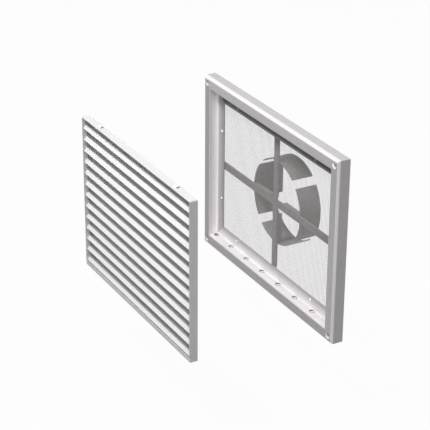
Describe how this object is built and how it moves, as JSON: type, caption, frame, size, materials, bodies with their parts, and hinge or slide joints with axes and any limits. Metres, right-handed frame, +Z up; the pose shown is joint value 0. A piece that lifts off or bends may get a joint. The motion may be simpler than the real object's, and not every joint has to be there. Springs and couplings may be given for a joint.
{
  "type": "wall ventilation grille",
  "caption": "Rectangular aluminium wall vent: a frame with insect mesh, support cross and round tabbed duct spigot, and a louvre panel shown pulled out of the frame.",
  "frame": {"origin": "middle of the frame's rear plane, on the spigot's axis and at the centre of the wall screw pattern", "axes": "+X across the grille, +Y into the wall, +Z up"},
  "size_m": [0.4, 0.2864, 0.3],
  "materials": {
    "frame_aluminium": "satin anodised",
    "cleat_aluminium": "mill finish",
    "mesh_wire": "woven wire",
    "rivet_aluminium": "plain",
    "bracket_steel": "galvanised sheet",
    "panel_aluminium": "satin anodised",
    "slat_aluminium": "satin anodised",
    "spring_steel": "spring strip"
  },
  "bodies": {
    "wall_frame": {"frame_top": "frame_aluminium", "frame_bottom": "frame_aluminium", "frame_left": "frame_aluminium", "frame_right": "frame_aluminium", "cleat_top_left": "cleat_aluminium", "cleat_top_right": "cleat_aluminium", "cleat_bottom_left": "cleat_aluminium", "cleat_bottom_right": "cleat_aluminium", "insect_mesh": "mesh_wire", "mesh_rivets": "rivet_aluminium", "support_cross": "bracket_steel", "spigot_tab_left": "bracket_steel", "spigot_tab_right": "bracket_steel", "spigot_tab_top": "bracket_steel", "spigot_tab_bottom": "bracket_steel"},
    "louvre_panel": {"louvre_top_rail": "panel_aluminium", "louvre_bottom_rail": "panel_aluminium", "louvre_left_stile": "panel_aluminium", "louvre_right_stile": "panel_aluminium", "slat_01": "slat_aluminium", "slat_02": "slat_aluminium", "slat_03": "slat_aluminium", "slat_04": "slat_aluminium", "slat_05": "slat_aluminium", "slat_06": "slat_aluminium", "slat_07": "slat_aluminium", "slat_08": "slat_aluminium", "slat_09": "slat_aluminium", "slat_10": "slat_aluminium", "slat_11": "slat_aluminium", "slat_12": "slat_aluminium", "slat_13": "slat_aluminium", "clip_left": "spring_steel", "clip_right": "spring_steel"}
  },
  "joints": [
    {"name": "panel_slide", "type": "slide", "parent": "wall_frame", "child": "louvre_panel", "axis": [0, 1, 0], "range_m": [0, 0.2296]}
  ]
}
